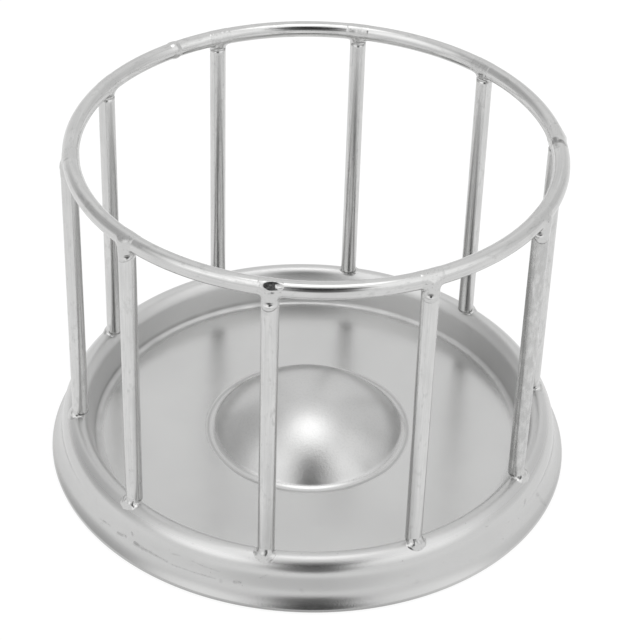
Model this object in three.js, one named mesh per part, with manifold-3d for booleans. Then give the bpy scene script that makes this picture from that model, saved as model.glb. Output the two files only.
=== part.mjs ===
// Reptile water dish: a pressed steel dish with a domed middle, fenced by upright wires under a wire ring.
// Millimetres, +Z up. The origin is the middle of the flat lip on which the dish stands.
import * as THREE from 'three';
import { mergeVertices } from 'three/addons/utils/BufferGeometryUtils.js';
import Module from 'manifold-3d';

// Dish, pressed from one disc of sheet
const dishRadius = 65; // to the outside of the hem
const sheetThickness = 0.8;
const lipWidth = 3; // flat lip turned in under the hem
const hemBend = 0.2; // inside radius of the hem's turn
const flareRadius = 7.5; // the skirt's hollow flare above the hem
const flareAngle = 47; // degrees by which the flare turns outwards
const skirtRise = 0.25; // upright stretch between the flare and the shoulder
const shoulderRadius = 5.6; // bulging shoulder below the crest
const shoulderAngle = 58; // degrees by which the shoulder turns inwards
const crestBend = 1.1; // inside radius of the rim's rolled crest
const brinkRadius = 4; // broader bend from the crest down into the inner wall
const brinkAngle = 35; // degrees by which the brink turns downwards
const wallLean = 18; // degrees by which the inner wall leans outwards
const wallFillet = 1.2;
const floorHeight = 3.6;
const domeHeight = 13; // above the floor
const domeFootRadius = 25.2; // where the dome's fillet meets the floor
const domeFillet = 2;

// Cage of round wire
const overallHeight = 88.8;
const ringWire = 4; // diameter
const ringInset = 0.5; // the ring's centreline lies this far inside the circle of posts
const postWire = 4; // diameter
const postInset = 1.16; // the circle of posts lies this far inside the rim's crest
const postCount = 10;
const firstPostAngle = -90; // degrees from +X
const postSetting = [0.9, 0, 0, 0, 0, 0, 0.3, 1.2, 0, 0.6]; // degrees by which each is off its even place

// Welds
const ringWeldDrop = 2.4; // from the ring's underside down to the end of a post
const ringWeldLap = 0.3; // how far the weld climbs the ring's outer side past its centre
const ringWeldBulge = 0.35; // how far the weld stands out from the post
const footWeldRise = 1.6; // from the rim's crest up to the foot of a post
const footWeldSink = 0.6; // from the crest down to the weld's lower edge
const footWeldBulge = 0.4;
const buttWeldLength = 2.4; // where the two ends of the ring's wire meet
const buttWeldBulge = 0.25;
const buttWeldPlace = 6.37; // in post spacings round from the first post
const seatClearance = 0.3; // between a weld and what it joins

// Fineness of the facets
const turnSides = 60;
const ringSides = 12;
const postSides = 16;
const weldSides = 14;
const bendSteps = { dome: 7, domeFoot: 2, wallFoot: 2, brink: 3, crest: 4, shoulder: 3, flare: 3, hem: 4, weld: 4 };

// Places that follow from the sizes above
const hemRoll = hemBend + sheetThickness;
const crestRoll = crestBend + sheetThickness;
const flareTurn = THREE.MathUtils.degToRad(flareAngle);
const shoulderTurn = THREE.MathUtils.degToRad(shoulderAngle);
const wallTurn = THREE.MathUtils.degToRad(90 - wallLean);
const brinkTurn = THREE.MathUtils.degToRad(brinkAngle);
const hemCentre = new THREE.Vector2(dishRadius - hemRoll, hemRoll);
const flareCentre = stepAlong(hemCentre, Math.PI / 2 - flareTurn, hemRoll + flareRadius);
const skirtRadius = flareCentre.x - flareRadius;
const shoulderCentre = new THREE.Vector2(skirtRadius - shoulderRadius, flareCentre.y + skirtRise);
const crestCentre = stepAlong(shoulderCentre, Math.PI / 2 - shoulderTurn, shoulderRadius - crestRoll);
const brinkCentre = stepAlong(crestCentre, brinkTurn - wallTurn, crestRoll - brinkRadius);
const rimHeight = crestCentre.y + crestRoll;
const postCircle = crestCentre.x - postInset;
const ringRadius = postCircle - ringInset;
const ringHeight = overallHeight - ringWire / 2;
const postFoot = rimHeight + footWeldRise;
const postTop = ringHeight - ringWire / 2 - ringWeldDrop;
const postPitch = (2 * Math.PI) / postCount;
const firstPost = THREE.MathUtils.degToRad(firstPostAngle);

const wasm = await Module();
wasm.setup();

// Merges shared corners and drops the empty triangles at a lathe's poles, which leaves one closed skin.
function closedSkin(geometry) {
  const bare = geometry.clone();
  bare.deleteAttribute('normal');
  bare.deleteAttribute('uv');
  const merged = mergeVertices(bare);
  const corners = merged.index.array;
  const kept = [];
  for (let i = 0; i < corners.length; i += 3) {
    const [a, b, c] = corners.subarray(i, i + 3);
    if (a !== b && b !== c && c !== a) {
      kept.push(a, b, c);
    }
  }
  merged.setIndex(kept);
  merged.computeVertexNormals();
  return merged;
}

function toSolid(geometry) {
  const skin = closedSkin(geometry);
  return new wasm.Manifold(new wasm.Mesh({
    numProp: 3,
    vertProperties: new Float32Array(skin.attributes.position.array),
    triVerts: new Uint32Array(skin.index.array),
  }));
}

function cutAway(geometry, tool) {
  const mesh = toSolid(geometry).subtract(toSolid(tool)).getMesh();
  const result = new THREE.BufferGeometry();
  result.setAttribute('position', new THREE.BufferAttribute(mesh.vertProperties, 3));
  result.setIndex(new THREE.BufferAttribute(mesh.triVerts, 1));
  result.computeVertexNormals();
  return result;
}

// Turns a profile of (radius, height) points about the Z axis, starting from -Y.
function turned(profile, sides) {
  return closedSkin(new THREE.LatheGeometry(profile, sides).rotateX(Math.PI / 2));
}

// The point at a distance from a centre; angles run from straight up towards the outside.
function stepAlong(centre, angle, distance) {
  return new THREE.Vector2(centre.x + distance * Math.sin(angle), centre.y + distance * Math.cos(angle));
}

function arc(centre, radius, from, to, steps) {
  return Array.from({ length: steps + 1 }, (_, i) => (
    stepAlong(centre, THREE.MathUtils.lerp(from, to, i / steps), radius)
  ));
}

function circle(radius, sides) {
  return arc(new THREE.Vector2(), radius, 0, 2 * Math.PI, sides).slice(0, sides);
}

// Dome and its foot: a spherical cap that runs through a hollow fillet into the flat floor.
function domeBends() {
  const reach = (domeFootRadius ** 2 + domeHeight ** 2) / (2 * domeHeight);
  const radius = reach - domeFillet;
  const slope = Math.asin(domeFootRadius / reach);
  const centre = new THREE.Vector2(0, floorHeight + domeHeight - radius);
  const foot = new THREE.Vector2(domeFootRadius, floorHeight + domeFillet);
  return [
    { centre, radius, from: 0, to: slope, steps: bendSteps.dome },
    { centre: foot, radius: domeFillet, from: Math.PI + slope, to: Math.PI, steps: bendSteps.domeFoot },
  ];
}

// Foot of the inner wall: the straight leaning wall is the common tangent of this fillet and the brink.
function wallFootBend() {
  const reach = brinkRadius + wallFillet;
  const wallTop = stepAlong(brinkCentre, -wallTurn, reach);
  const drop = wallTop.y - floorHeight - wallFillet;
  const centre = new THREE.Vector2(wallTop.x - drop / Math.tan(wallTurn), floorHeight + wallFillet);
  return { centre, radius: wallFillet, from: Math.PI, to: Math.PI - wallTurn, steps: bendSteps.wallFoot };
}

// Rolled crest, the brink that leads to it from the wall and the broad shoulder that carries on from it.
function rimBends() {
  const upright = Math.PI / 2;
  const start = brinkTurn - wallTurn;
  const meeting = upright - shoulderTurn;
  return [
    { centre: brinkCentre, radius: brinkRadius, from: -wallTurn, to: start, steps: bendSteps.brink },
    { centre: crestCentre, radius: crestRoll, from: start, to: meeting, steps: bendSteps.crest },
    { centre: shoulderCentre, radius: shoulderRadius, from: meeting, to: upright, steps: bendSteps.shoulder },
  ];
}

// Hollow flare of the skirt and the rolled hem.
function skirtBends() {
  const top = -Math.PI / 2;
  const meeting = top - flareTurn;
  return [
    { centre: flareCentre, radius: flareRadius, from: top, to: meeting, steps: bendSteps.flare },
    { centre: hemCentre, radius: hemRoll, from: meeting + Math.PI, to: Math.PI, steps: bendSteps.hem },
  ];
}

// Points along a run of bends at a depth below the show side of the sheet.
// A bulging bend tightens with depth and a hollow one widens.
function followBends(bends, depth) {
  return bends.flatMap(({ centre, radius, from, to, steps }) => {
    const side = to > from ? -1 : 1;
    return arc(centre, radius + side * depth, from, to, steps);
  });
}

// One side of the sheet, from the middle out to the edge of the lip.
function sheetSide(depth) {
  const bends = [...domeBends(), wallFootBend(), ...rimBends(), ...skirtBends()];
  return [...followBends(bends, depth), new THREE.Vector2(hemCentre.x - lipWidth, depth)];
}

function baseDish() {
  return turned([...sheetSide(sheetThickness), ...sheetSide(0).reverse()], turnSides);
}

// The room that a foot weld leaves for the rim.
function rimRoom() {
  const top = followBends(rimBends(), -seatClearance).reverse();
  const bottom = new THREE.Vector2(top.at(-1).x, shoulderCentre.y);
  return turned([...top, bottom, top[0]], turnSides);
}

// The room that a ring weld leaves for the ring.
function ringRoom() {
  const centre = new THREE.Vector2(ringRadius, ringHeight);
  return turned(arc(centre, ringWire / 2 + seatClearance, Math.PI, -Math.PI, 2 * ringSides), turnSides);
}

class RingPath extends THREE.Curve {
  constructor(radius, halfGap) {
    super();
    this.radius = radius;
    this.halfGap = halfGap;
  }

  getPoint(t, target = new THREE.Vector3()) {
    const angle = THREE.MathUtils.lerp(this.halfGap, 2 * Math.PI - this.halfGap, t);
    return target.set(this.radius * Math.cos(angle), this.radius * Math.sin(angle), 0);
  }
}

// The ring's wire, bent round until its two ends leave room for the butt weld.
function topRing() {
  const halfGap = (buttWeldLength / 2 + seatClearance) / ringRadius;
  return new THREE.ExtrudeGeometry(new THREE.Shape(circle(ringWire / 2, ringSides)), {
    extrudePath: new RingPath(ringRadius, halfGap),
    steps: turnSides,
    bevelEnabled: false,
  });
}

// A short barrel along the ring's wire.
function buttWeld() {
  const barrel = [new THREE.Vector2(0, -buttWeldLength / 2)];
  for (let i = 0; i <= bendSteps.weld; i += 1) {
    const t = i / bendSteps.weld;
    const swell = buttWeldBulge * Math.sin(Math.PI * t);
    barrel.push(new THREE.Vector2(ringWire / 2 + swell, (t - 0.5) * buttWeldLength));
  }
  barrel.push(new THREE.Vector2(0, buttWeldLength / 2));
  return closedSkin(new THREE.LatheGeometry(barrel, weldSides));
}

function post() {
  const radius = postWire / 2;
  return new THREE.CylinderGeometry(radius, radius, postTop - postFoot, postSides).rotateX(Math.PI / 2);
}

// A rounded end on the post that saddles the ring from below and laps its outer side.
function ringWeld() {
  const bottom = postTop + seatClearance;
  const radius = postWire / 2 + ringWeldBulge;
  const round = new THREE.Vector2(0, ringHeight + ringWeldLap - radius);
  const profile = [
    new THREE.Vector2(0, bottom),
    new THREE.Vector2(postWire / 2, bottom),
    ...arc(round, radius, Math.PI / 2, 0, bendSteps.weld),
  ];
  const blob = turned(profile, weldSides).translate(postCircle, 0, 0);
  return cutAway(blob, ringRoom());
}

// A bell of weld metal that sits astride the rim and narrows to the post.
function footWeld() {
  const top = postFoot - seatClearance;
  const bottom = rimHeight - footWeldSink;
  const profile = [new THREE.Vector2(0, bottom)];
  for (let i = 0; i <= bendSteps.weld; i += 1) {
    const t = i / bendSteps.weld;
    const swell = footWeldBulge * (1 - t ** 2);
    profile.push(new THREE.Vector2(postWire / 2 + swell, THREE.MathUtils.lerp(bottom, top, t)));
  }
  profile.push(new THREE.Vector2(0, top));
  const bell = turned(profile, weldSides).translate(postCircle, 0, 0);
  return cutAway(bell, rimRoom());
}

function piece(name, geometry, color, roughness) {
  const material = new THREE.MeshStandardMaterial({ color, roughness, metalness: 1 });
  const mesh = new THREE.Mesh(geometry, material);
  mesh.name = name;
  return mesh;
}

function ringWithWeld() {
  const group = new THREE.Group();
  group.position.z = ringHeight;
  group.rotation.z = firstPost + buttWeldPlace * postPitch;
  const weld = piece('ring_butt_weld', buttWeld(), 0xb9b9b7, 0.4);
  weld.position.x = ringRadius;
  group.add(piece('top_ring', topRing(), 0xcfcfcf, 0.22), weld);
  return group;
}

// One post with its two welds, modelled at +X and turned to its place.
function bays() {
  const shapes = { post: post(), ringWeld: ringWeld(), footWeld: footWeld() };
  return Array.from({ length: postCount }, (_, i) => {
    const number = String(i + 1).padStart(2, '0');
    const wire = piece(`post_${number}`, shapes.post, 0xd2d2d2, 0.28);
    wire.position.set(postCircle, 0, (postFoot + postTop) / 2);
    const bay = new THREE.Group();
    bay.rotation.z = firstPost + i * postPitch + THREE.MathUtils.degToRad(postSetting[i] ?? 0);
    bay.add(wire);
    bay.add(piece(`ring_weld_${number}`, shapes.ringWeld, 0xb9b9b7, 0.4));
    bay.add(piece(`foot_weld_${number}`, shapes.footWeld, 0xb9b9b7, 0.4));
    return bay;
  });
}

const waterDish = new THREE.Group();
waterDish.add(piece('base_dish', baseDish(), 0xc8c8c8, 0.3), ringWithWeld(), ...bays());

export default waterDish;
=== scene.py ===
import bpy
import numpy as np
from mathutils import Matrix, Vector


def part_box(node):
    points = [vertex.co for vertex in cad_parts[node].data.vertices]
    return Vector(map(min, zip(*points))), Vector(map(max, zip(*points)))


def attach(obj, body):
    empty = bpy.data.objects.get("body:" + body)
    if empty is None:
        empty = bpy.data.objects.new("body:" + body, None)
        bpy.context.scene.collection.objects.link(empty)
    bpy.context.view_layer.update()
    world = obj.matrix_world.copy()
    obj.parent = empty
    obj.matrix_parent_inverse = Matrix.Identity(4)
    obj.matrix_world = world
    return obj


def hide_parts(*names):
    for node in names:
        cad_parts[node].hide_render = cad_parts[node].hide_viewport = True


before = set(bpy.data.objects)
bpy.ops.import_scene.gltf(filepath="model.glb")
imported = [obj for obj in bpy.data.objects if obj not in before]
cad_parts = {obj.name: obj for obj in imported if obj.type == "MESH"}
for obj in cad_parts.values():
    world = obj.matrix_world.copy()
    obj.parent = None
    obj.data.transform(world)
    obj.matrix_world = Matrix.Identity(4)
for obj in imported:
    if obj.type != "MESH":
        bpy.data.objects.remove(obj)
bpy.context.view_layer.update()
mm = 0.001
print("frame loaded with", len(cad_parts), "nodes")


# sizes and places that the frame gives
def nodeBox(node):
    low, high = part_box(node)
    return np.array(low), np.array(high)


# angle about Z of the middle of a node's box
def nodeAngle(node):
    low, high = nodeBox(node)
    return np.arctan2(low[1] + high[1], low[0] + high[0])


dishHigh = nodeBox("base_dish")[1]
ringLow, ringHigh = nodeBox("top_ring")
postLow, postHigh = nodeBox("post_01")
dishRadius = dishHigh[0]
wireRadius = (ringHigh[2] - ringLow[2]) / 2
ringHeight = (ringHigh[2] + ringLow[2]) / 2
ringRadius = max(*ringHigh[:2], *-ringLow[:2]) - wireRadius
postRadius = (postHigh[0] - postLow[0]) / 2
postCircle = np.hypot(*(postHigh + postLow)[:2]) / 2
postFoot = postLow[2]
postTop = postHigh[2]
postNumbers = sorted(name[-2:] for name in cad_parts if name.startswith("post_"))


# faces of a grid; its columns, and its rows where joined, run on from the last to the first
def gridFaces(rows, columns, joinRows=False):
    a, b = np.meshgrid(np.arange(rows if joinRows else rows - 1), np.arange(columns), indexing="ij")
    c = (a + 1) % rows
    d = (b + 1) % columns
    corners = [a * columns + b, c * columns + b, c * columns + d, a * columns + d]
    return np.stack(corners, -1).reshape(-1, 4)


# six times the volume inside the faces, as the sum of the boxes that their corners span with the origin
def signedVolume(points, faces):
    a, b, c = points[faces[:, 0]], points[faces[:, 1]], points[faces[:, 2]]
    volume = np.sum(a * np.cross(b, c))
    if faces.shape[1] == 4:
        volume += np.sum(a * np.cross(c, points[faces[:, 3]]))
    return volume


# mesh from points, quads and end fans, turned outwards; each pattern is a point attribute for the finish
def putMesh(name, points, quads, fans, patterns):
    if signedVolume(points, quads) + signedVolume(points, fans) < 0:
        quads = quads[:, ::-1]
        fans = fans[:, ::-1]
    mesh = bpy.data.meshes.new(name)
    mesh.from_pydata(points.tolist(), [], quads.tolist() + fans.tolist())
    mesh.shade_smooth()
    for key, values in patterns.items():
        layer = mesh.attributes.new(key, "FLOAT_VECTOR", "POINT")
        layer.data.foreach_set("vector", values.astype(np.float32).ravel())
    mesh.update()
    piece = bpy.data.objects.new(name, mesh)
    bpy.context.scene.collection.objects.link(piece)
    return piece


# closed skin: a grid whose columns join round, with one more point at each end of its rows
def closedSkin(name, grid, first, last, patterns=None):
    rows, columns = grid.shape[:2]
    points = np.concatenate([grid.reshape(-1, 3), [first, last]])
    here = np.arange(columns)
    there = (here + 1) % columns
    start = np.full(columns, rows * columns)
    lastRow = (rows - 1) * columns
    firstFan = np.stack([start, here, there], -1)
    lastFan = np.stack([start + 1, lastRow + there, lastRow + here], -1)
    flat = {}
    for key, values in (patterns or {}).items():
        flat[key] = np.concatenate([values.reshape(-1, 3), values[0, :1], values[-1, :1]])
    return putMesh(name, points, gridFaces(rows, columns), np.concatenate([firstFan, lastFan]), flat)


# a piece's finish, the body that carries it and the node that it stands for
def finishPiece(piece, node, finish):
    piece.data.materials.append(finish)
    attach(piece, "root")
    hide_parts(node)


# soft unevenness: a sum of plane waves in scattered directions, about -1 to 1, with bumps of the given size
def unevenness(points, size, seed, waves=14):
    draw = np.random.default_rng(seed)
    directions = draw.normal(size=(waves, 3))
    directions /= np.linalg.norm(directions, axis=1, keepdims=True)
    pace = draw.uniform(0.6, 1.5, waves) * np.pi / size
    phase = draw.uniform(0, 2 * np.pi, waves)
    return np.sin(points @ (directions * pace[:, None]).T + phase).sum(-1) / np.sqrt(2 * waves)


# from 0 at low to 1 at high, level at both ends
def smoothStep(value, low, high):
    t = np.clip((value - low) / (high - low), 0, 1)
    return t * t * (3 - 2 * t)


# the lesser of two values, with the corner between them rounded over a width
def softMin(a, b, width):
    share = np.clip(0.5 + 0.5 * (b - a) / width, 0, 1)
    return b + (a - b) * share - width * share * (1 - share)


# the greater of two values, rounded the same way
def softMax(a, b, width):
    return -softMin(-a, -b, width)


# camera, at the photograph's place: it looks at the target from a direction and is turned about its view
cameraView = {
    "target": Vector((2.127, 0.354, 37.121)) * mm,
    "distance": 539.83 * mm,
    "azimuth": np.radians(9.4644),
    "elevation": np.radians(36.3362),
    "roll": np.radians(1.9344),
    "lens": 123.265,
    "sensor": 36.0,
}


# unit vector towards an azimuth, which runs from -Y to +X, and an elevation
def directionAt(azimuth, elevation):
    level = np.cos(elevation)
    return Vector((level * np.sin(azimuth), -level * np.cos(azimuth), np.sin(elevation)))


def addCamera(view):
    back = directionAt(view["azimuth"], view["elevation"])
    side = Vector((np.cos(view["azimuth"]), np.sin(view["azimuth"]), 0))
    rise = back.cross(side)
    turn = view["roll"]
    right = side * np.cos(turn) + rise * np.sin(turn)
    up = rise * np.cos(turn) - side * np.sin(turn)
    data = bpy.data.cameras.new("camera")
    data.sensor_width = view["sensor"]
    data.lens = view["lens"]
    data.clip_start = 0.01
    camera = bpy.data.objects.new("camera", data)
    camera.matrix_world = Matrix.LocRotScale(
        view["target"] + back * view["distance"],
        Matrix((right, up, back)).transposed().to_quaternion(),
        None,
    )
    bpy.context.scene.collection.objects.link(camera)
    bpy.context.scene.camera = camera


addCamera(cameraView)
bpy.context.scene.view_settings.view_transform = "Standard"
print("camera placed")


# node building: a value that is a socket is linked, and any other is set
def addNode(tree, kind, values=None, **options):
    made = tree.nodes.new(kind)
    for key, value in options.items():
        setattr(made, key, value)
    for key, value in (values or {}).items():
        if isinstance(value, bpy.types.NodeSocket):
            tree.links.new(value, made.inputs[key])
        else:
            made.inputs[key].default_value = value
    return made


# arithmetic with numbers
def calculate(tree, operation, *values):
    made = addNode(tree, "ShaderNodeMath", dict(enumerate(values)), operation=operation)
    return made.outputs[0]


# arithmetic with vectors, which gives a vector or a number
def combine(tree, operation, values):
    return addNode(tree, "ShaderNodeVectorMath", values, operation=operation).outputs


# a value carried from one range to another, and held at its ends
def rescale(tree, value, low, high, toLow, toHigh, smooth=False):
    made = addNode(
        tree,
        "ShaderNodeMapRange",
        {"Value": value, "From Min": low, "From Max": high, "To Min": toLow, "To Max": toHigh},
        interpolation_type="SMOOTHSTEP" if smooth else "LINEAR",
    )
    return made.outputs["Result"]


# noise whose features have the given size in metres, one for all axes of the pattern or one for each
def noise(tree, place, size, detail=2.0, roughness=0.5):
    scale = tuple(1 / np.broadcast_to(size, 3))
    scaled = addNode(tree, "ShaderNodeMapping", {"Vector": place, "Scale": scale})
    made = addNode(
        tree,
        "ShaderNodeTexNoise",
        {"Vector": scaled.outputs[0], "Scale": 1.0, "Detail": detail, "Roughness": roughness},
    )
    return made.outputs["Fac"]


# normal of a surface that a pattern raises by a depth
def bump(tree, height, depth):
    values = {"Height": height, "Distance": depth, "Strength": 1.0}
    return addNode(tree, "ShaderNodeBump", values).outputs["Normal"]


# a point's place in the object's axes
def objectPlace(tree):
    return addNode(tree, "ShaderNodeTexCoord").outputs["Object"]


# a piece's own pattern, by the name of its attribute
def pattern(tree, name):
    return addNode(tree, "ShaderNodeAttribute", attribute_name=name).outputs["Vector"]


# a vector's three numbers
def split(tree, vector):
    return addNode(tree, "ShaderNodeSeparateXYZ", {0: vector}).outputs


# a finish that starts as plain metal
def startFinish(name):
    finish = bpy.data.materials.new(name)
    finish.use_nodes = True
    tree = finish.node_tree
    shader = tree.nodes["Principled BSDF"]
    shader.inputs["Metallic"].default_value = 1.0
    return finish, tree, shader


# colour between two, each a socket or three numbers
def shade(tree, value, first, second):
    ends = [c if isinstance(c, bpy.types.NodeSocket) else (*c, 1) for c in (first, second)]
    made = addNode(tree, "ShaderNodeMix", {"Factor": value, 6: ends[0], 7: ends[1]}, data_type="RGBA")
    return made.outputs[2]


# soft-edged stroke between two points, broken up by the given noise: 1 on its line, 0 at its width
def stroke(tree, place, start, end, width, breaks):
    start, end = Vector(start) * mm, Vector(end) * mm
    along = end - start
    unit = along / along.length_squared
    offset = combine(tree, "SUBTRACT", {0: place, 1: start})[0]
    share = rescale(tree, combine(tree, "DOT_PRODUCT", {0: offset, 1: unit})["Value"], 0, 1, 0, 1)
    nearest = combine(tree, "SCALE", {0: along, "Scale": share})[0]
    away = combine(tree, "DISTANCE", {0: offset, 1: nearest})["Value"]
    mark = rescale(tree, away, 0, width * mm, 1, 0, True)
    return calculate(tree, "MULTIPLY", mark, breaks)


# noise that breaks up a stroke, from 1 down to the least that is left of it
def breakUp(tree, place, look):
    made = noise(tree, place, look["breakSize"], 3.0, 0.6)
    return rescale(tree, made, *look["breakRange"], look["breakLeast"], 1)


# pressed sheet: a faint rolling grain along X, a sandy skin where it was stretched, and scuffs on the rim
dishFinish = {
    "light": (0.655, 0.655, 0.651),
    "dark": (0.62, 0.62, 0.617),
    "scuffedAndShaded": (0.30, 0.30, 0.298),
    "floorRoughness": 0.23,
    "domeRoughness": 0.31,
    "rimRoughness": 0.22,
    "crestRoughness": 0.36,
    "wallRoughness": 0.38,
    "scuffRoughness": 0.38,
    "creaseRoughness": 0.2,  # on top of the floor's
    # painted shade in the pressed crease round the dome's foot
    "creaseShade": 0.38,
    "grainSize": (16 * mm, 0.5 * mm, 16 * mm),
    "grainShare": 0.12,  # the rest of the tone is cloudy
    "cloudSize": 16 * mm,
    "toneRange": (0.3, 0.7),  # each range is the part of a noise that counts
    "toneRoughness": 0.06,
    "sandSize": 0.52 * mm,
    "sandDepth": 0.042 * mm,
    "sandRange": (0.35, 0.65),
    "sandTone": (0.10, -0.08),
    "rimSand": 0.3,  # share of the dome's
    "crestBand": (11 * mm, 12.3 * mm),  # heights from none to all of it
    "skirtBand": (11 * mm, 8 * mm),
    "skirtDarkening": 0.1,
    "rubSize": (4 * mm, 4 * mm, 1.2 * mm),
    "rubRange": (0.52, 0.75),
    "rubs": 0.2,
    "speckSize": 0.8 * mm,
    "speckRange": (0.70, 0.76),
    "specks": 0.4,
    "hemBand": (4 * mm, 1 * mm),
    "hemFront": (-40 * mm, -60 * mm),  # painted shade: the hem is darkened at the front alone
    "hemShade": 0.34,
    "breakSize": 1.6 * mm,
    "breakRange": (0.3, 0.62),
    "breakLeast": 0.2,
    "scuffs": [  # start, end, width and darkness, in mm
        ((-31.5, -54.1, 5.0), (-29.2, -55.4, 5.0), 1, 0.85),
        ((-29.2, -55.4, 5.0), (-26.9, -56.5, 5.0), 0.72, 0.77),
        ((-26.9, -56.5, 5.0), (-22.6, -58.5, 4.8), 0.58, 0.64),
        ((-21.4, -59.0, 4.6), (-15.8, -60.7, 4.8), 0.49, 0.42),
        ((-15.8, -60.7, 4.8), (-10.2, -61.8, 4.9), 0.49, 0.42),
        ((-16.2, -60.2, 7.7), (-12.6, -61.0, 7.3), 0.49, 0.42),
        ((-12.6, -61.0, 7.3), (-9.3, -61.6, 7.1), 0.49, 0.42),
        ((-8.8, -62.1, 4.9), (-8.8, -62.1, 4.5), 0.79, 0.51),
        ((-5.5, -62.3, 5.2), (-4.2, -62.4, 5.4), 0.79, 0.68),
        ((-42.1, -46.7, 4.3), (-38.9, -49.2, 4.9), 0.58, 0.59),
        ((-36.6, -51.0, 4.6), (-34.2, -52.4, 5.2), 0.79, 0.68),
        ((-32.3, -53.2, 7.4), (-32.2, -53.3, 6.8), 0.68, 0.68),
        ((-21.3, -58.5, 7.6), (-19.3, -59.2, 7.9), 0.58, 0.34),
        ((0.5, -62.3, 7.6), (2.1, -62.1, 8.7), 0.39, 0.51),
        ((10.0, -61.7, 5.2), (10.6, -61.7, 5.0), 1, 0.34),
        ((-18.7, -10.1, 7.5), (-15.5, -15.3, 7.0), 3.4, 0.14),
        ((57.9, -22.7, 8.3), (57.8, -22.9, 7.7), 1.1, 0.7),
        ((60.3, -16.3, 5.6), (62.5, -15.3, 2.1), 1.5, 0.5),
    ],
}


def dishSteel(look):
    finish, tree, shader = startFinish("pressed_sheet")
    place = objectPlace(tree)
    zone = split(tree, pattern(tree, "zones"))  # dome, rim, painted shade in the crease and along the wall's foot
    side = split(tree, pattern(tree, "sides"))  # wall, and the painted dark reflection line on it
    _, back, height = split(tree, place)
    grain = noise(tree, place, look["grainSize"], 3.0)
    cloud = noise(tree, place, look["cloudSize"], 3.0)
    sand = noise(tree, place, look["sandSize"], 3.0, 0.6)
    rubs = noise(tree, pattern(tree, "rolled"), look["rubSize"], 4.0, 0.6)
    specks = noise(tree, place, look["speckSize"], 2.0)
    breaks = breakUp(tree, place, look)
    skirt = calculate(tree, "MULTIPLY", rescale(tree, height, *look["skirtBand"], 0, 1), zone["Y"])
    crest = rescale(tree, height, *look["crestBand"], 0, 1, True)
    crest = calculate(tree, "MULTIPLY", crest, zone["Y"])

    # scuffs: rubs on the skirt, specks all over the rim, and strokes with places of their own
    scuff = calculate(tree, "MULTIPLY", rescale(tree, rubs, *look["rubRange"], 0, look["rubs"]), skirt)
    spots = rescale(tree, specks, *look["speckRange"], 0, look["specks"])
    spots = calculate(tree, "MULTIPLY", spots, zone["Y"])
    scuff = calculate(tree, "MAXIMUM", scuff, spots)
    for start, end, width, darkness in look["scuffs"]:
        mark = stroke(tree, place, start, end, width, breaks)
        scuff = calculate(tree, "MAXIMUM", scuff, calculate(tree, "MULTIPLY", mark, darkness))

    # colour: the sheet's tone, dulled by sand, scuffs and a darker skirt, with painted shade in the crease,
    # along the wall's foot and at the hem's front, and a painted reflection on the wall
    tone = calculate(tree, "MULTIPLY", cloud, 1 - look["grainShare"])
    tone = calculate(tree, "MULTIPLY_ADD", grain, look["grainShare"], tone)
    colour = shade(tree, rescale(tree, tone, *look["toneRange"], 0, 1), look["dark"], look["light"])
    sandy = rescale(tree, sand, *look["sandRange"], *look["sandTone"])
    sandy = calculate(tree, "MULTIPLY", sandy, zone["X"])
    # painted shade at the hem's front, and the skirt a little darker all round
    hemShadeAndSkirt = rescale(tree, height, *look["hemBand"], 0, look["hemShade"], True)
    hemShadeAndSkirt = calculate(tree, "MULTIPLY", hemShadeAndSkirt, rescale(tree, back, *look["hemFront"], 0, 1, True))
    hemShadeAndSkirt = calculate(tree, "ADD", hemShadeAndSkirt, look["skirtDarkening"])
    dullAndShade = calculate(tree, "MULTIPLY_ADD", hemShadeAndSkirt, skirt, sandy)
    dullAndShade = calculate(tree, "MULTIPLY_ADD", zone["Z"], look["creaseShade"], dullAndShade)
    dullAndShade = calculate(tree, "ADD", side["Y"], dullAndShade)
    colour = shade(tree, calculate(tree, "MAXIMUM", scuff, dullAndShade), colour, look["scuffedAndShaded"])
    tree.links.new(colour, shader.inputs["Base Color"])

    # roughness: the floor's, and what each zone adds
    floor, rim = look["floorRoughness"], look["rimRoughness"]
    rough = calculate(tree, "MULTIPLY_ADD", tone, look["toneRoughness"], floor - look["toneRoughness"] / 2)
    for zoneShare, added in [
        (zone["X"], look["domeRoughness"] - floor),
        (zone["Y"], rim - floor),
        (crest, look["crestRoughness"] - rim),
        (scuff, look["scuffRoughness"] - rim),
        (zone["Z"], look["creaseRoughness"]),
        (side["X"], look["wallRoughness"] - floor),
    ]:
        rough = calculate(tree, "MULTIPLY_ADD", zoneShare, added, rough)
    tree.links.new(rough, shader.inputs["Roughness"])
    sanded = calculate(tree, "MULTIPLY_ADD", zone["Y"], look["rimSand"], zone["X"])
    sanded = calculate(tree, "MULTIPLY", sand, sanded)
    tree.links.new(bump(tree, sanded, look["sandDepth"]), shader.inputs["Normal"])
    return finish


# drawn wire: fine lines along the wire, from noise that is long in the wire's direction, and blotchy stains
wireFinish = {
    "light": (0.675, 0.675, 0.67),
    "dark": (0.59, 0.59, 0.587),
    "stain": (0.44, 0.44, 0.436),
    "scorch": (0.2, 0.2, 0.198),
    "toneRange": (0.34, 0.62),
    "roughness": (0.09, 0.19),
    "roughRange": (0.3, 0.7),
    "stainRoughness": 0.12,
    "lineSize": (0.22 * mm, 0.22 * mm, 14 * mm),
    "lineDepth": 0.003 * mm,
    "patchSize": (3 * mm, 3 * mm, 9 * mm),
    "stainSize": (1.1 * mm, 1.1 * mm, 2.6 * mm),
    "patchStain": 0.35,  # how far patches and soiling add to the stains
    "soilStain": 0.12,
    "stainRange": (0.82, 1.08),
    "stained": 0.7,
    "breakSize": 1.1 * mm,
    "breakRange": (0.36, 0.56),
    "breakLeast": 0.1,
    "marks": [],
}
postFinish = wireFinish | {
    "light": (0.695, 0.695, 0.69),
    "dark": (0.61, 0.61, 0.607),
    "stain": (0.46, 0.46, 0.456),
    "roughness": (0.16, 0.27),
}
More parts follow.
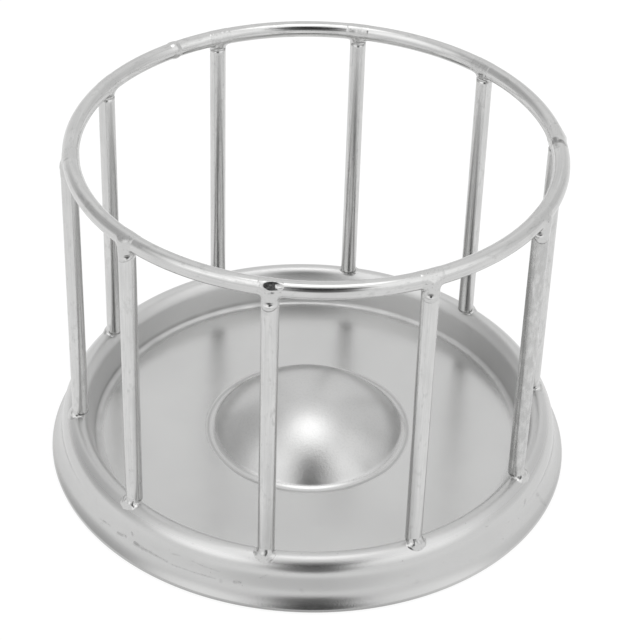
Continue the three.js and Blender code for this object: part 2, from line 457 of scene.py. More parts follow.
ringFinish = wireFinish | {
    "lineDepth": 0.008 * mm,
    "marks": [  # scorched by the weld of the fourth post: start, end, width and darkness, in mm
        ((53.8, 14.7, 88.4), (53.9, 13.0, 88.1), 0.88, 1.0),
        ((53.8, 14.7, 88.4), (54.6, 13.6, 88.7), 0.8, 0.8),
        ((53.9, 13.0, 88.1), (55.1, 12.7, 88.7), 1.1, 1.0),
        ((54.5, 11.8, 88.4), (55.0, 10.4, 88.5), 0.96, 0.5),
        ((55.6, 13.1, 88.8), (57.0, 12.0, 88.4), 0.96, 1.0),
        ((53.4, 19.2, 88.8), (54.1, 21.3, 88.5), 0.96, 0.4),
    ],
}


def wireSteel(name, look):
    finish, tree, shader = startFinish(name)
    place = objectPlace(tree)
    drawn = pattern(tree, "drawn")
    soiling = addNode(tree, "ShaderNodeAttribute", attribute_name="soiling").outputs["Fac"]
    line = noise(tree, drawn, look["lineSize"], 3.0)
    patch = noise(tree, drawn, look["patchSize"], 3.0)
    stain = noise(tree, drawn, look["stainSize"], 4.0, 0.65)
    tone = calculate(tree, "MULTIPLY_ADD", line, 0.5, calculate(tree, "MULTIPLY", patch, 0.5))
    colour = shade(tree, rescale(tree, tone, *look["toneRange"], 0, 1), look["dark"], look["light"])
    stained = calculate(tree, "MULTIPLY_ADD", patch, look["patchStain"], stain)
    stained = calculate(tree, "MULTIPLY_ADD", soiling, look["soilStain"], stained)
    stained = rescale(tree, stained, *look["stainRange"], 0, look["stained"])
    colour = shade(tree, stained, colour, look["stain"])
    if look["marks"]:
        breaks = breakUp(tree, place, look)
    for start, end, width, darkness in look["marks"]:
        mark = calculate(tree, "MULTIPLY", stroke(tree, place, start, end, width, breaks), darkness)
        colour = shade(tree, mark, colour, look["scorch"])
    tree.links.new(colour, shader.inputs["Base Color"])
    rough = rescale(tree, tone, *look["roughRange"], *look["roughness"][::-1])
    rough = calculate(tree, "MULTIPLY_ADD", stained, look["stainRoughness"], rough)
    tree.links.new(rough, shader.inputs["Roughness"])
    tree.links.new(bump(tree, line, look["lineDepth"]), shader.inputs["Normal"])
    return finish


# dressed weld: lumpy, a little rougher, with dark specks, and painted shade and painted highlights where
# its pattern says
weldFinish = {
    "light": (0.62, 0.62, 0.616),
    "dark": (0.36, 0.36, 0.356),
    "roughness": (0.13, 0.26),
    "lumpSize": 0.55 * mm,
    "lumpDepth": 0.02 * mm,
    "lumpRange": (0.3, 0.7),
    "speckSize": 0.4 * mm,
    "speckRange": (0.29, 0.40),
    "paintedShade": (0.1, 0.1, 0.099),
    "paintedHighlight": (0.97, 0.97, 0.965),
}


def weldSteel(look):
    finish, tree, shader = startFinish("dressed_weld")
    place = objectPlace(tree)
    lump = noise(tree, place, look["lumpSize"], 3.0)
    speck = noise(tree, place, look["speckSize"], 4.0, 0.6)
    paintedLightMask = split(tree, pattern(tree, "tints"))
    colour = shade(tree, rescale(tree, speck, *look["speckRange"], 0, 1), look["dark"], look["light"])
    # painted highlight on the pits' lips, then painted shade in the pits and along the seams
    colour = shade(tree, paintedLightMask["Y"], colour, look["paintedHighlight"])
    colour = shade(tree, paintedLightMask["X"], colour, look["paintedShade"])
    tree.links.new(colour, shader.inputs["Base Color"])
    rough = rescale(tree, lump, *look["lumpRange"], *look["roughness"])
    tree.links.new(rough, shader.inputs["Roughness"])
    tree.links.new(bump(tree, lump, look["lumpDepth"]), shader.inputs["Normal"])
    return finish


sheetSteel = dishSteel(dishFinish)
ringSteel = wireSteel("bent_wire", ringFinish)
postSteel = wireSteel("cut_wire", postFinish)
moltenSteel = weldSteel(weldFinish)
print("finishes made")


# dish: one profile of arcs and straight runs, with its other side a sheet's thickness away, turned about Z
dish = {
    "sheet": 0.8 * mm,
    "lipWidth": 3 * mm,
    "hemRoll": 0.77 * mm,
    "flareRadius": 8.267 * mm,
    "flareAngle": np.radians(45.5),
    "skirtRise": 0.25 * mm,
    "shoulderRadius": 5.6 * mm,
    "shoulderAngle": np.radians(58),
    "crestRoll": 2.4 * mm,
    "brinkRadius": 4.5 * mm,
    "brinkAngle": np.radians(35),
    "wallLean": np.radians(18),  # at the brink
    "footLean": np.radians(8),  # at the floor
    "wallBow": 26.5 * mm,
    "wallFillet": 1.3 * mm,
    "floorHeight": 3.3 * mm,
    "domeHeight": 12.3 * mm,
    "domeFootRadius": 25.2 * mm,
    "domeFillet": 2.5 * mm,
    "crease": 0.25 * mm,  # from the dome's foot out to the crease pressed round it
    "creaseWidth": 0.4 * mm,
    "creaseDepth": 0.08 * mm,
    "creaseWander": 0.1 * mm,
    "creaseRows": 21,
    "wallFootShade": 0.6,  # how far the painted shade along the wall's foot darkens
    "wallFootShadeWidth": 0.8 * mm,
    "wallReflection": 0.5,  # painted reflection: a thin dark line above it at the back left
    "reflectionHeight": 1.1 * mm,
    "reflectionWidth": 0.35 * mm,
    "reflectionSide": np.array([-0.866, 0.5, 0]),
    "reflectionSpread": (0.65, 0.95),  # cosines to that side, from none to all of it
    "patchiness": 0.4,  # of both lines
    "domeFade": 3 * mm,  # widths over which a zone's finish sets in
    "rimFade": 3 * mm,
    "wallFade": (1.2 * mm, 1.8 * mm),  # at the foot and at the brink
    "columns": 288,
    "showSpacing": 1.3 * mm,  # greatest distance between rows
    "backSpacing": 3 * mm,
    "waver": 0.03 * mm,
    "waverSize": 22 * mm,
    "waverRadius": (64 * mm, 58 * mm),  # from none to all of it
    "waverHeight": (1 * mm, 2.4 * mm),
}


# point at a distance from a centre, towards an angle that is counted from straight up to outwards
def stepAlong(centre, angle, distance):
    return centre + distance * np.stack([np.sin(angle), np.cos(angle)], -1)


# centres of the rim's bends, from the hem up to the crest, in radius and height
def rimCentres(d):
    hem = np.array([dishRadius - d["hemRoll"], d["hemRoll"]])
    flare = stepAlong(hem, np.pi / 2 - d["flareAngle"], d["hemRoll"] + d["flareRadius"])
    shoulder = flare + [-d["flareRadius"] - d["shoulderRadius"], d["skirtRise"]]
    crest = stepAlong(shoulder, np.pi / 2 - d["shoulderAngle"], d["shoulderRadius"] - d["crestRoll"])
    start = d["brinkAngle"] + d["wallLean"] - np.pi / 2
    brink = stepAlong(crest, start, d["crestRoll"] - d["brinkRadius"])
    return hem, flare, shoulder, crest, brink


hemCentre, flareCentre, shoulderCentre, crestCentre, brinkCentre = rimCentres(dish)
rimHeight = crestCentre[1] + dish["crestRoll"]


# bends in order from the middle: centre, show side's radius, first and last angle from straight up, steps
def dishBends(d):
    height, foot, fillet = d["domeHeight"], d["domeFootRadius"], d["domeFillet"]
    reach = (foot**2 + height**2) / (2 * height)  # from the dome's centre to the fillet's, as they touch
    domeCentre = np.array([0, d["floorHeight"] + height - reach + fillet])
    domeFoot = np.array([foot, d["floorHeight"] + fillet])
    slope = np.arcsin(foot / reach)
    wallTurn = np.pi / 2 - d["wallLean"]
    footTurn = np.pi / 2 - d["footLean"]
    bowCentre = stepAlong(brinkCentre, -wallTurn, d["brinkRadius"] - d["wallBow"])
    wallTop = stepAlong(bowCentre, -footTurn, d["wallBow"] + d["wallFillet"])
    footLevel = d["floorHeight"] + d["wallFillet"]
    wallFoot = np.array([wallTop[0] - (wallTop[1] - footLevel) / np.tan(footTurn), footLevel])
    upright = np.pi / 2
    start = d["brinkAngle"] - wallTurn
    meeting = upright - d["shoulderAngle"]
    flareEnd = -upright - d["flareAngle"]
    return [
        (domeCentre, reach - fillet, 0.0, slope, 36),
        (domeFoot, fillet, np.pi + slope, np.pi, 16),
        (wallFoot, d["wallFillet"], np.pi, np.pi - footTurn, 12),
        (bowCentre, d["wallBow"], -footTurn, -wallTurn, 12),
        (brinkCentre, d["brinkRadius"], -wallTurn, start, 14),
        (crestCentre, d["crestRoll"], start, meeting, 26),
        (shoulderCentre, d["shoulderRadius"], meeting, upright, 24),
        (flareCentre, d["flareRadius"], -upright, flareEnd, 24),
        (hemCentre, d["hemRoll"], flareEnd + np.pi, np.pi, 22),
    ]


# points along the bends at a depth under the show side; bulging bends tighten with depth, hollow ones widen
def profileRuns(bends, depth, coarse, least=0.05 * mm):
    runs = []
    for centre, radius, start, stop, steps in bends:
        side = -1 if stop > start else 1
        angles = np.linspace(start, stop, max(3, steps // coarse))
        runs.append(stepAlong(centre, angles, max(radius + side * depth, least)))
    return runs


# points put in on a straight run, so that no face is longer than the spacing
def fillStraights(points, spacing):
    gaps = np.linalg.norm(np.diff(points, axis=0), axis=1)
    counts = np.maximum(1, np.ceil(gaps / spacing)).astype(int)
    place = np.concatenate([np.arange(n) / n + i for i, n in enumerate(counts)] + [[len(counts)]])
    index = np.arange(len(points))
    return np.stack([np.interp(place, index, points[:, k]) for k in (0, 1)], -1)


# rows of the profile, from the dome over the rim to the lip and back beneath, and which of them show
def dishProfile(d, bends):
    runs = profileRuns(bends, 0, 1)
    foot = d["domeFootRadius"]
    ledge = np.linspace(foot, foot + 5 * d["crease"], d["creaseRows"] + 1)[1:]  # close rows for the crease
    runs.insert(2, np.stack([ledge, np.full(d["creaseRows"], d["floorHeight"])], -1))
    lipEdge = hemCentre[0] - d["lipWidth"]
    show = np.concatenate(runs + [[[lipEdge, 0]]])
    back = np.concatenate(profileRuns(bends, d["sheet"], 4) + [[[lipEdge, d["sheet"]]]])
    show = fillStraights(show, d["showSpacing"])
    back = fillStraights(back, d["backSpacing"])
    profile = np.concatenate([show, back[::-1]])
    onShow = np.arange(len(profile)) < len(show)
    keep = np.concatenate([[True], np.linalg.norm(np.diff(profile, axis=0), axis=1) > 1e-7])
    return profile[keep], onShow[keep]


# what the finish reads: dome, rim, and painted shade in the crease and along the wall's foot as zones;
# wall and its painted dark reflection line as sides; a line is a bell curve of the distance from its
# middle, made patchy along its length
def dishPatterns(d, wallFoot, radius, height, onShow, around, crease):
    flat = 0 * around[..., 0]
    foot = d["domeFootRadius"]
    crestRadius = crestCentre[0]
    dome = smoothStep(radius, foot, foot - d["domeFade"]) + flat
    rim = smoothStep(radius, crestRadius - d["rimFade"], crestRadius) + flat
    # painted shade along the wall's foot, where the wall meets the floor
    fromWall = (radius - wallFoot - d["wallFillet"] / 4) / d["wallFootShadeWidth"]
    beaded = 1 + d["patchiness"] * unevenness(around * 50 * mm, 2.5 * mm, 13)
    wallFootShade = d["wallFootShade"] * np.exp(-(fromWall**2)) * onShow * beaded
    wallTop = stepAlong(brinkCentre, d["wallLean"] - np.pi / 2, d["brinkRadius"])[0]
    onWall = (radius > wallFoot) * (radius < crestRadius) * onShow
    atFoot, atBrink = d["wallFade"]
    wall = smoothStep(radius, wallFoot, wallFoot + atFoot) * onWall + flat
    wall = wall * smoothStep(radius, wallTop + atBrink, wallTop)
    # painted reflection: a thin dark line on the wall's fillet, on the back left side alone
    fromReflection = (height - d["floorHeight"] - d["reflectionHeight"]) / d["reflectionWidth"]
    patchy = 1 + d["patchiness"] * unevenness(around * 50 * mm, 3 * mm, 17)
    onSide = smoothStep(around @ d["reflectionSide"], *d["reflectionSpread"])
    wallReflection = d["wallReflection"] * np.exp(-(fromReflection**2)) * onWall * patchy * onSide
    zones = np.stack([dome, rim, crease + wallFootShade], -1)
    return {"zones": zones, "sides": np.stack([wall, wallReflection, 0 * wall], -1)}


# the profile turned about Z, with a slight waver inside the rim and the crease sunk in
def buildDish(d):
    bends = dishBends(d)
    profile, onShow = dishProfile(d, bends)
    path = np.cumsum(np.linalg.norm(np.diff(profile, axis=0), axis=1))[:-1, None]
    ends = [[0, 0, profile[k, 1]] for k in (0, -1)]
    profile, onShow = profile[1:-1], onShow[1:-1, None]
    radius, height = profile[:, :1], profile[:, 1:]
    turn = np.linspace(0, 2 * np.pi, d["columns"], endpoint=False) + np.pi / 2
    around = np.stack([np.cos(turn), np.sin(turn), 0 * turn], -1)[None]
    grid = radius[..., None] * around + height[..., None] * [0, 0, 1]
    inside = smoothStep(radius, *d["waverRadius"]) * smoothStep(height, *d["waverHeight"])
    grid[..., 2] += d["waver"] * unevenness(grid * [1, 1, 0], d["waverSize"], 5) * inside
    wander = d["creaseWander"] * unevenness(around * 25 * mm, 7 * mm, 9)
    fromCrease = (radius - d["domeFootRadius"] - d["crease"] - wander) / d["creaseWidth"]
    crease = np.exp(-(fromCrease**2)) * onShow
    grid[..., 2] -= d["creaseDepth"] * crease
    patterns = dishPatterns(d, bends[2][0][0], radius, height, onShow, around, crease)
    patterns["rolled"] = around * dishRadius + path[..., None] * [0, 0, 1]
    piece = closedSkin("pressed_dish", grid, *ends, patterns)
    finishPiece(piece, "base_dish", sheetSteel)


buildDish(dish)
print("dish pressed")


# ring: a round section carried along a circle; the pattern follows the section and the wire's length
ring = {"along": 720, "around": 48, "soiling": 0.8}


# points at an angle round the ring, and at an angle and a radius in the wire's section
def ringPoints(angle, section, radius):
    reach = ringRadius + radius * np.cos(section)
    height = ringHeight + radius * np.sin(section)
    return np.stack([reach * np.cos(angle), reach * np.sin(angle), height], -1)


def buildRing(r):
    buttAngle = nodeAngle("ring_butt_weld")
    angle = np.linspace(0, 2 * np.pi, r["along"], endpoint=False)[:, None] + buttAngle
    section = np.linspace(0, 2 * np.pi, r["around"], endpoint=False)[None, :]
    points = ringPoints(angle + 0 * section, section + 0 * angle, wireRadius)
    length = (angle - buttAngle) * ringRadius
    x, y = wireRadius * np.cos(section), wireRadius * np.sin(section)
    drawn = np.stack([x + 0 * angle, y + 0 * angle, length + 0 * section], -1).reshape(-1, 3)
    patterns = {"drawn": drawn, "soiling": np.full_like(drawn, r["soiling"])}
    faces = gridFaces(r["along"], r["around"], joinRows=True)
    noFans = np.zeros((0, 3), int)
    piece = putMesh("wire_ring", points.reshape(-1, 3), faces, noFans, patterns)
    finishPiece(piece, "top_ring", ringSteel)


buildRing(ring)
print("ring bent")


# posts: a round section carried up a straight line, running on a little into the weld at each end
post = {
    "along": 90,
    "around": 56,
    "runOn": 1.2 * mm,
    "soiling": {"03": 2.6, "02": 0.6},  # the most and the least stained
    "soilingElse": 0.8,
    "patternStep": 0.4,  # from each post's drawing lines to the next one's
}


def buildPost(number, p):
    angle = nodeAngle("post_" + number)
    height = np.linspace(postTop + p["runOn"], postFoot - p["runOn"], p["along"])[:, None]
    section = np.linspace(0, 2 * np.pi, p["around"], endpoint=False)[None, :]
    axis = postCircle * np.array([np.cos(angle), np.sin(angle)])
    x = axis[0] + postRadius * np.cos(section + angle) + 0 * height
    y = axis[1] + postRadius * np.sin(section + angle) + 0 * height
    grid = np.stack([x, y, height + 0 * section], -1)
    shift = p["patternStep"] * int(number)
    across, deep = postRadius * np.cos(section), postRadius * np.sin(section)
    drawn = np.stack([across + 0 * height, deep + 0 * height, height + shift + 0 * section], -1)
    patterns = {"drawn": drawn, "soiling": np.full_like(drawn, p["soiling"].get(number, p["soilingElse"]))}
    ends = [[*axis, height[0, 0]], [*axis, height[-1, 0]]]
    piece = closedSkin("wire_post_" + number, grid, *ends, patterns)
    finishPiece(piece, "post_" + number, postSteel)


for number in postNumbers:
    buildPost(number, post)
print("posts cut")


# weld skin: rays from a middle point, on a grid of turn and tilt, run out to where the depth is nought
def raySkin(middle, reach, depthAt, turns=144, tilts=72):
    tilt = (np.arange(tilts) + 1) * np.pi / (tilts + 1)
    turn = np.linspace(0, 2 * np.pi, turns, endpoint=False)
    t, a = np.meshgrid(tilt, turn, indexing="ij")
    rays = np.stack([np.sin(t) * np.cos(a), np.cos(t), np.sin(t) * np.sin(a)], -1)
    rays = np.concatenate([rays.reshape(-1, 3), [[0, 1, 0], [0, -1, 0]]])
    steps = np.linspace(0, reach, 40)[1:]
    depths = depthAt(middle + rays[:, None] * steps[None, :, None])
    outside = depths > 0
    outside[:, -1] = True
    first = outside.argmax(1)
    high = steps[first]
    low = np.where(first > 0, steps[first - 1], 0)
    for _ in range(14):
        half = (low + high) / 2
        out = depthAt(middle + rays * half[:, None]) > 0
        high = np.where(out, half, high)
        low = np.where(out, low, half)
    points = middle + rays * high[:, None]
    return points[:-2].reshape(tilts, turns, 3), points[-2], points[-1]


# from a bay's own axes (outwards, along the rim, up) to the object's
def turnBay(points, angle):
    x = points[..., 0] * np.cos(angle) - points[..., 1] * np.sin(angle)
    y = points[..., 0] * np.sin(angle) + points[..., 1] * np.cos(angle)
    return np.stack([x, y, points[..., 2]], -1)


# distances to the wires, in a bay's axes
def postGap(p):
    return np.hypot(p[..., 0] - postCircle, p[..., 1]) - postRadius


def ringGap(p):
    return np.hypot(np.hypot(p[..., 0], p[..., 1]) - ringRadius, p[..., 2] - ringHeight) - wireRadius


# distance to the rim, by the bend that a point faces: brink inside, crest on top, shoulder outside
def rimGap(p):
    place = np.stack([np.hypot(p[..., 0], p[..., 1]), p[..., 2]], -1)
    fromCrest = place - crestCentre
    lean = np.arctan2(fromCrest[..., 0], fromCrest[..., 1])
    crest = np.linalg.norm(fromCrest, axis=-1) - dish["crestRoll"]
    shoulder = np.linalg.norm(place - shoulderCentre, axis=-1) - dish["shoulderRadius"]
    brink = np.linalg.norm(place - brinkCentre, axis=-1) - dish["brinkRadius"]
    inwards = lean < dish["brinkAngle"] + dish["wallLean"] - np.pi / 2
    outwards = lean > np.pi / 2 - dish["shoulderAngle"]
    return np.where(outwards, shoulder, np.where(inwards, brink, crest))


# soft bump or dent about a point, fading over a size along each of the bay's axes
def swelling(p, point, size):
    return np.exp(-np.sum(((p - np.array(point)) / size) ** 2, -1))


# ring weld: the post's end and the ring in a soft union that ends at a seam below, with a pit in its side;
# on one the metal stood up on the ring and was ground off flat
ringWeld = {
    "middle": (-0.5 * mm, 0, -1.6 * mm),  # outwards from the post, along, and up from the ring's centre
    "seat": (1.4 * mm, 0, -1.7 * mm),
    "reach": 4.9 * mm,
    "lap": 0.15 * mm,
    "topRound": 1.3 * mm,
    "union": 1.0 * mm,
    "swell": 0.16 * mm,
    "swellSize": 1.7 * mm,
    "sink": 0.05 * mm,
    "seam": 4.9 * mm,  # below the ring's centre, lowest at the outer side
    "seamRise": 1.3 * mm,
    "seamSlant": {"01": 0.15, "03": 0.8},
    "seamStep": 0.12 * mm,
    "seamLine": (0.16 * mm, 0.22 * mm),  # painted shade: its height above the seam, and its width
    "breakSize": 0.8 * mm,
    "breakRange": (-0.6, 0.3),
    "proud": 0.09 * mm,
    "pit": (2.8 * mm, 0.8 * mm, 0.36 * mm),  # below the ring's centre, half width and half height
    "pitTurn": {"01": 0, "02": -28, "03": -83, "09": -60, "10": 50},  # from straight outwards
    "pitDepth": 0.35 * mm,
    "pitLip": 0.35 * mm,
    # painted shade in the pit and a painted highlight on its lip, and painted shade along the seam
    "pitShadeAndHighlight": {"01": 1.0, "02": 0.4, "03": 1.0, "10": 0.4},
    "pitShadeAndHighlightElse": 0.3,
    "seamShade": {"01": 0.8, "03": 0.9},
    "seamShadeElse": 0.2,
    "lump": 0.05 * mm,
    "lumpSize": 0.7 * mm,
    "laps": {"10": 1.0 * mm, "09": -0.8 * mm},  # the ones whose metal climbed the ring
    "stood": {  # turn, tilt and distance of the flat, then the lump's middle and half sizes
        "01": [  # outwards, along and up the flat, in mm
            (12, 39, 2.25, (2.2, -0.3, 0.15), (0.4, 2.45, 1.15)),
            (14, 62, 2.18, (2.13, 1.85, -0.86), (0.45, 0.8, 0.7)),
        ],
    },
    "stoodRound": 0.06 * mm,
    "stoodUnion": 0.2 * mm,
    "fade": (2.2 * mm, 3.8 * mm),  # distances along over which the weld sinks into the ring
}


# unit vector at a turn from outwards and a tilt upwards, in degrees
def facing(turn, tilt):
    turn, tilt = np.radians([turn, tilt])
    return np.array([np.cos(tilt) * np.cos(turn), np.cos(tilt) * np.sin(turn), np.sin(tilt)])


# range of distances along a direction over which the post's surface turns to it
def facingPost(aside):
    middle = postCircle * np.cos(aside)
    return middle + 0.2 * postRadius, middle + 0.8 * postRadius


def buildRingWeld(number, w):
    angle = nodeAngle("post_" + number)
    draw = np.random.default_rng(300 + int(number))
    joint = np.array([postCircle, 0, ringHeight])
    middle, seat = joint + w["middle"], joint + w["seat"]
    aside = np.radians(w["pitTurn"].get(number, draw.uniform(-12, 28)))
    face = np.array([postCircle + postRadius * np.cos(aside), postRadius * np.sin(aside), ringHeight])
    drop, wide, tall = w["pit"]
    pit = face - [0, 0, drop + draw.uniform(-0.1, 0.1) * mm]
    lip = pit - [0, 0, 1.6 * tall]
    core = np.array([ringRadius, 0, ringHeight])
    top = ringHeight + w["laps"].get(number, w["lap"])
    slant = w["seamSlant"].get(number, draw.uniform(-0.35, 0.35))

    def aboveSeam(p):
        rise = w["seamRise"] * (1 - (p[..., 0] - postCircle) / postRadius) + slant * p[..., 1]
        return p[..., 2] - ringHeight + w["seam"] - rise

    def depthAt(p):
        wire = softMax(postGap(p), p[..., 2] - top, w["topRound"])
        gap = softMin(wire, ringGap(p), w["union"]) + w["sink"]
        near = swelling(p, seat, w["swellSize"])
        gap = gap - w["swell"] * near
        above = aboveSeam(p)
        below = 1 - smoothStep(above, -w["seamStep"], w["seamStep"])
        gap = gap - w["proud"] + 2.4 * w["proud"] * below
        gap = gap + w["pitDepth"] * swelling(p, pit, [wide, wide, tall])
        gap = gap - w["pitLip"] * swelling(p, lip, [wide, wide, tall])
        gap = gap + w["lump"] * unevenness(p, w["lumpSize"], int(number), 9) * (0.2 + near)
        gap = gap + 3 * w["sink"] * smoothStep(np.abs(p[..., 1]), *w["fade"])
        for turn, tilt, flat, place, size in w["stood"].get(number, []):
            axes = np.stack([facing(turn, tilt), facing(turn + 90, 0), facing(turn, tilt + 90)], -1)
            local = (p - core) @ axes
            lump = (local - np.array(place) * mm) / (np.array(size) * mm)
            lump = (np.linalg.norm(lump, axis=-1) - 1) * size[0] * mm
            lump = softMax(lump, local[..., 0] - flat * mm, w["stoodRound"])
            gap = softMin(gap, lump, w["stoodUnion"])
        return np.maximum(gap, np.linalg.norm(p - middle, axis=-1) - w["reach"])

    grid, first, last = raySkin(middle, w["reach"] * 1.05, depthAt, 192, 96)
    outer = smoothStep(grid[..., 0] * np.cos(aside) + grid[..., 1] * np.sin(aside), *facingPost(aside))
    broken = smoothStep(unevenness(grid, w["breakSize"], 60 + int(number)), *w["breakRange"])
    # painted shade along the seam's step and in the pit
    lineHeight, lineWidth = w["seamLine"]
    fromSeam = (aboveSeam(grid) - lineHeight) / lineWidth
    seamShade = w["seamShade"].get(number, w["seamShadeElse"])
    seam = seamShade * np.exp(-(fromSeam**2)) * broken * outer
    pitShadeAndHighlight = w["pitShadeAndHighlight"].get(number, w["pitShadeAndHighlightElse"])
    paintedShade = pitShadeAndHighlight * swelling(grid, pit, np.array([wide, wide, tall]) * 0.75)
    # painted highlight on the pit's lip
    paintedHighlight = pitShadeAndHighlight * swelling(grid, lip, [wide, 1.2 * wide, 0.8 * tall])
    tints = np.stack([np.maximum(seam, paintedShade), paintedHighlight, 0 * seam], -1)
    skin = (turnBay(part, angle) for part in (grid, first, last))
    piece = closedSkin("ring_bead_" + number, *skin, {"tints": tints})
    finishPiece(piece, "ring_weld_" + number, moltenSteel)


# foot weld: the post's end and the rim in a soft union, with a nugget that ran down over the rim
footWeld = {
    "middle": (0.7 * mm, 0, 0.1 * mm),  # outwards from the post, along, and up from the rim
    "reach": 4.4 * mm,
    "edge": 2.6 * mm,  # distance from the middle at which it starts to thin out
    "drop": 0.3 * mm,
    "endRound": 0.7 * mm,
    "union": 0.55 * mm,
    "sink": 0.05 * mm,
    "fade": (1.2 * mm, 2.0 * mm),  # heights above the rim over which the weld sinks into the post
    "nugget": (1.55 * mm, 0, -0.55 * mm),
    "nuggetSize": (1.4 * mm, 1.9 * mm, 1.6 * mm),
    "nuggetUnion": 0.9 * mm,
    "lump": 0.06 * mm,
    "lumpSize": 0.75 * mm,
    "rough": {"01": 1.0, "02": 1.6, "03": 2.2, "09": 1.4, "10": 2.4},  # times the lumps
    "roughElse": 0.4,
}


def buildFootWeld(number, w):
    angle = nodeAngle("post_" + number)
    foot = np.array([postCircle, 0, rimHeight])
    middle, nugget = foot + w["middle"], foot + w["nugget"]
    size = np.array(w["nuggetSize"])
    lumps = w["lump"] * w["rough"].get(number, w["roughElse"])

    def depthAt(p):
        wire = softMax(postGap(p), rimHeight - w["drop"] - p[..., 2], w["endRound"])
        gap = softMin(wire, rimGap(p), w["union"])
        blob = (np.linalg.norm((p - nugget) / size, axis=-1) - 1) * size.min()
        gap = softMin(gap, blob, w["nuggetUnion"])
        near = swelling(p, nugget, size * 1.2)
        above = smoothStep(p[..., 2] - rimHeight, *w["fade"])
        away = np.linalg.norm(p - middle, axis=-1)
        beyond = smoothStep(away, w["edge"], w["reach"])
        gap = gap + w["sink"] * (1 + 3 * above + 5 * beyond) - 2 * w["sink"] * near
        gap = gap + lumps * unevenness(p, w["lumpSize"], 40 + int(number), 9) * near
        return np.maximum(gap, away - w["reach"])

    grid, first, last = raySkin(middle, w["reach"] * 1.05, depthAt)
    piece = closedSkin("foot_bead_" + number, *(turnBay(part, angle) for part in (grid, first, last)))
    finishPiece(piece, "foot_weld_" + number, moltenSteel)


for number in postNumbers:
    buildRingWeld(number, ringWeld)
    buildFootWeld(number, footWeld)
print("posts welded")


# butt weld: the ring's section carried on a short stretch, swollen in the middle and sunk at its ends
buttWeld = {
    "length": 4.4 * mm,
    "swell": 0.22 * mm,
    "sink": 0.12 * mm,
    "lump": 0.05 * mm,
    "lumpSize": 0.9 * mm,
    "along": 40,
    "around": 48,
}


def buildButtWeld(b):
    middle = nodeAngle("ring_butt_weld")
    share = np.linspace(-1, 1, b["along"])[:, None]
    section = np.linspace(0, 2 * np.pi, b["around"], endpoint=False)[None, :]
    angle = middle + share * b["length"] / 2 / ringRadius
    raised = (b["swell"] + b["sink"]) * np.cos(share * np.pi / 2) ** 2 - b["sink"]
    grid = ringPoints(angle + 0 * section, section + 0 * angle, wireRadius + raised + 0 * section)
    lumps = b["lump"] * unevenness(grid, b["lumpSize"], 77) * np.cos(share * np.pi / 2)
    grid = grid + lumps[..., None]
    ends = [ringPoints(angle[k, 0], 0.0, 0.0) for k in (0, -1)]
    piece = closedSkin("butt_bead", grid, *ends)
    finishPiece(piece, "ring_butt_weld", moltenSteel)


buildButtWeld(buttWeld)
print("ring closed")


# studio: white walls for the camera; metal sees soft walls, a bright ceiling and a dark opening in front
studio = {
    "wall": 0.9,
    "low": 1.03,  # share of the walls' light at the table's level
    "lowTop": 0.42,  # height of the direction at which the walls' own light is reached
    "lobes": [  # azimuth from the camera to the right, elevation, full and outer angle, amount
        (130, 88, 4, 20, 1.2),
        (-48, 48, 10, 34, 0.48),
        (56, 46, 8, 38, 0.33),
        (-105, 31, 10, 43, -0.36),
        (116, 24, 10, 42, -0.14),
        (180, 0, 10, 40, -0.1),
        (4, 23, 8, 21, -0.78),
    ],
    "opening": (5.5, 47.5, 8, 21, 0.03),
}


# soft spot about a direction: the high value inside the inner angle, the low one past the outer
def lobe(tree, direction, azimuth, elevation, inner, outer, low, high):
    towards = directionAt(cameraView["azimuth"] + np.radians(azimuth), np.radians(elevation))
    nearness = combine(tree, "DOT_PRODUCT", {0: direction, 1: towards})["Value"]
    edges = np.cos(np.radians([outer, inner]))
    return rescale(tree, nearness, *edges, low, high, True)


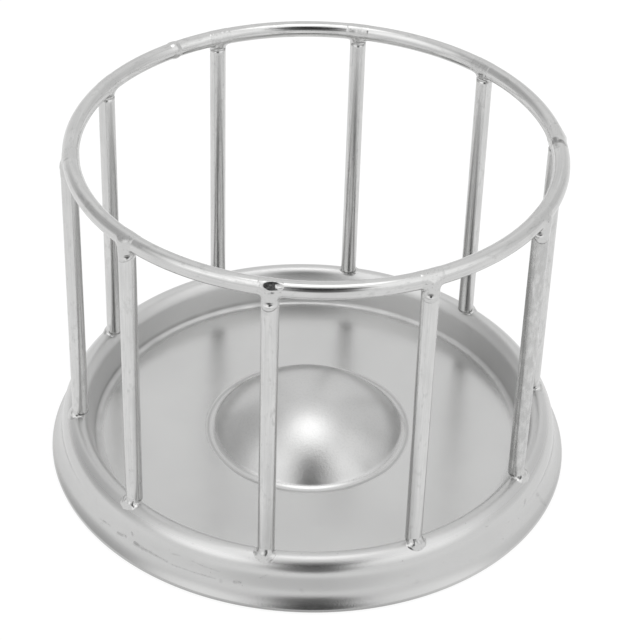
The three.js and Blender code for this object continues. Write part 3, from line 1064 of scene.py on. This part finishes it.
def buildStudio(s):
    world = bpy.data.worlds.new("studio")
    world.use_nodes = True
    bpy.context.scene.world = world
    tree = world.node_tree
    direction = addNode(tree, "ShaderNodeTexCoord").outputs["Generated"]
    height = split(tree, direction)["Z"]
    light = rescale(tree, height, 0, s["lowTop"], s["wall"] * s["low"], s["wall"], True)
    for *place, amount in s["lobes"]:
        light = calculate(tree, "ADD", light, lobe(tree, direction, *place, 0, amount))
    *place, left = s["opening"]
    light = calculate(tree, "MULTIPLY", light, lobe(tree, direction, *place, 1, left))
    seen = addNode(tree, "ShaderNodeLightPath").outputs["Is Camera Ray"]
    strength = addNode(tree, "ShaderNodeMix", {"Factor": seen, "A": light, "B": 1.0})
    background = tree.nodes["Background"]
    background.inputs["Color"].default_value = (1, 1, 1, 1)
    tree.links.new(strength.outputs["Result"], background.inputs["Strength"])


buildStudio(studio)


# table: a wide white plane with a little glow, more of it for the camera, that keeps a soft shadow
table = {
    "half": 3.0,
    "paint": 0.2,
    "glow": 0.76,
    "seenGlow": 0.85,
    "shade": (72 * mm, 2 * mm, 42 * mm, 0.7),  # painted shadow in front: place, full and outer reach, light left
}


def buildTable(t):
    mesh = bpy.data.meshes.new("table")
    h = t["half"]
    mesh.from_pydata([(-h, -h, 0), (h, -h, 0), (h, h, 0), (-h, h, 0)], [], [(0, 1, 2, 3)])
    plane = bpy.data.objects.new("table", mesh)
    bpy.context.scene.collection.objects.link(plane)
    finish, tree, shader = startFinish("table_white")
    shader.inputs["Metallic"].default_value = 0.0
    shader.inputs["Roughness"].default_value = 1.0
    shader.inputs["Specular IOR Level"].default_value = 0.0
    shader.inputs["Base Color"].default_value = (t["paint"], t["paint"], t["paint"], 1)
    shader.inputs["Emission Color"].default_value = (1, 1, 1, 1)
    # painted shadow: the glow that reflections see is dimmed in front of the dish, while the camera sees
    # all of it
    out, near, far, left = t["shade"]
    middle = directionAt(cameraView["azimuth"], 0) * out
    place = objectPlace(tree)
    away = combine(tree, "DISTANCE", {0: place, 1: middle})["Value"]
    glow = rescale(tree, away, near, far, t["glow"] * left, t["glow"], True)
    seen = addNode(tree, "ShaderNodeLightPath").outputs["Is Camera Ray"]
    glow = addNode(tree, "ShaderNodeMix", {"Factor": seen, "A": glow, "B": t["seenGlow"]})
    tree.links.new(glow.outputs["Result"], shader.inputs["Emission Strength"])
    mesh.materials.append(finish)


buildTable(table)
print("studio lit")
